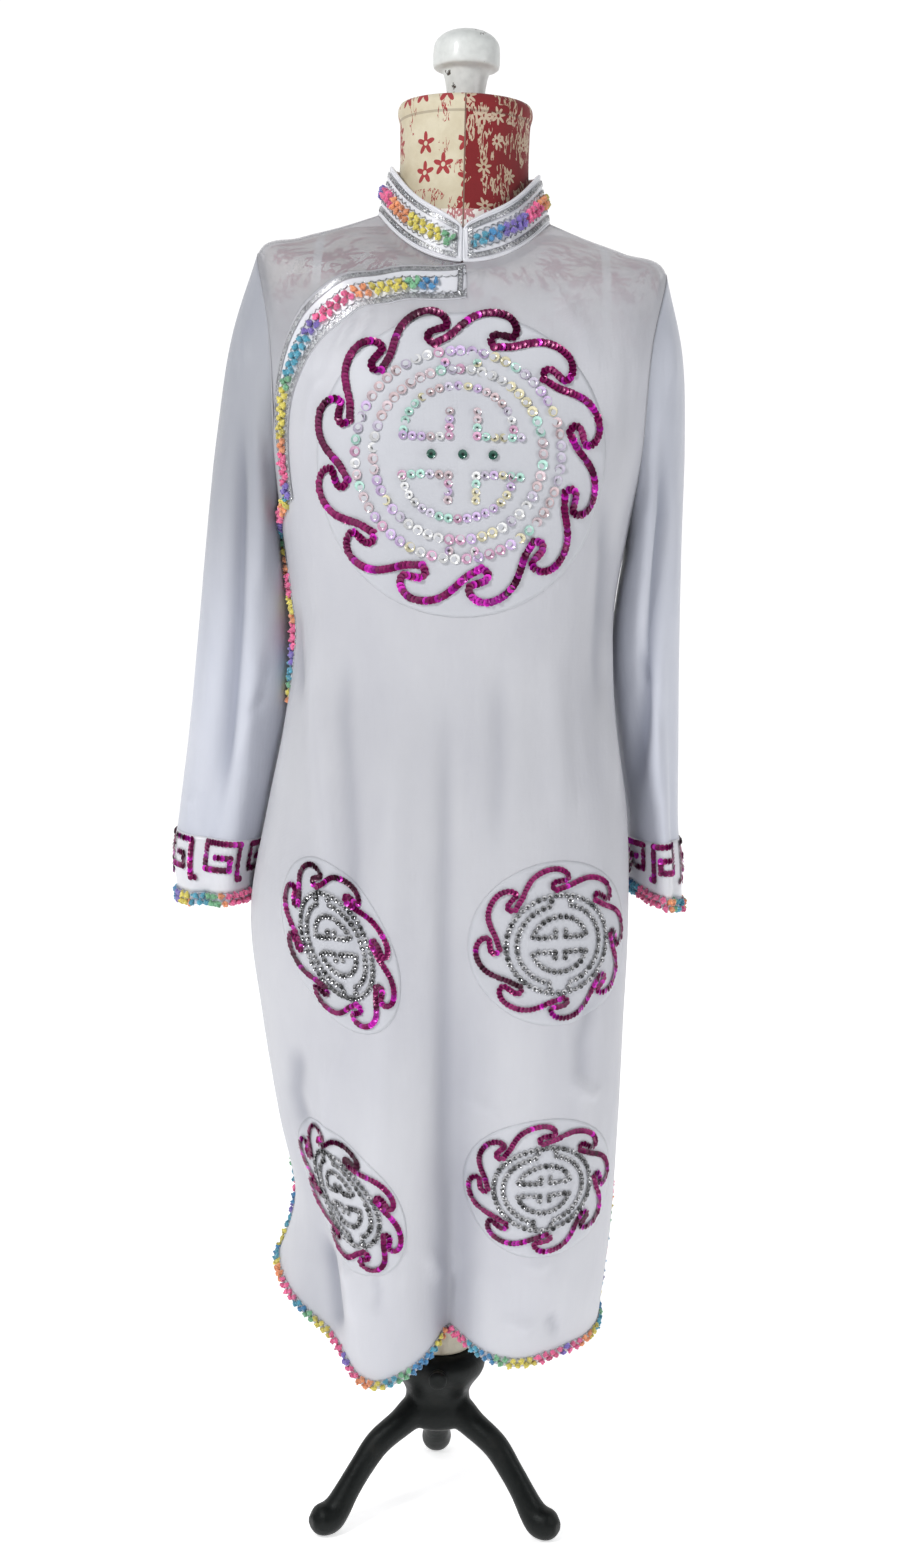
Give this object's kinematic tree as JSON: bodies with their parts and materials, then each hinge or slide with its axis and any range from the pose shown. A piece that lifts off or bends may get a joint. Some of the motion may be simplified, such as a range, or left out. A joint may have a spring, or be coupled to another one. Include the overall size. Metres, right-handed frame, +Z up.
{
  "type": "chinese performance dress on a dress form",
  "caption": "Long white stage robe with stand collar, curved side closing, long sleeves, side slits and sequin roundels, hanging open and hollow on a limbless dress form with an iron foot.",
  "frame": {"origin": "middle of the bounding box on the floor, under the three feet", "axes": "+Z up, -Y towards the front of the robe, +X to the wearer's left"},
  "size_m": [0.4964, 0.2822, 1.415],
  "materials": {
    "robe_cloth": "slightly sheer white plain weave with a lilac grey cast in its shadows",
    "satin": "white satin with silver thread and sequin rows",
    "patch_cloth": "closer white cloth under magenta and silver sequin work",
    "rainbow_trim": "looped chenille edging that changes colour along its length",
    "form_cover": "cream cotton printed in red at the neck, aged",
    "painted_knob": "chipped white paint over dark wood",
    "painted_pole": "cream paint with brown stains",
    "iron": "black, worn smooth"
  },
  "bodies": {
    "root": {"front_panel": "robe_cloth", "front_under": "robe_cloth", "back_panel": "robe_cloth", "sleeve_left": "robe_cloth", "sleeve_right": "robe_cloth", "collar": "satin", "placket_band": "satin", "cuff_band_left": "satin", "cuff_band_right": "satin", "roundel_chest": "patch_cloth", "roundel_hip_left": "patch_cloth", "roundel_hip_right": "patch_cloth", "roundel_hem_left": "patch_cloth", "roundel_hem_right": "patch_cloth", "cuff_edging_left": "rainbow_trim", "cuff_edging_right": "rainbow_trim", "hem_edging_front": "rainbow_trim", "hem_edging_back": "rainbow_trim", "slit_edging_front_left": "rainbow_trim", "slit_edging_front_right": "rainbow_trim", "slit_edging_back_left": "rainbow_trim", "slit_edging_back_right": "rainbow_trim", "closure_edging": "rainbow_trim", "form_body": "form_cover", "finial": "painted_knob", "pole": "painted_pole", "iron_foot": "iron", "set_screw": "iron"}
  },
  "joints": []
}
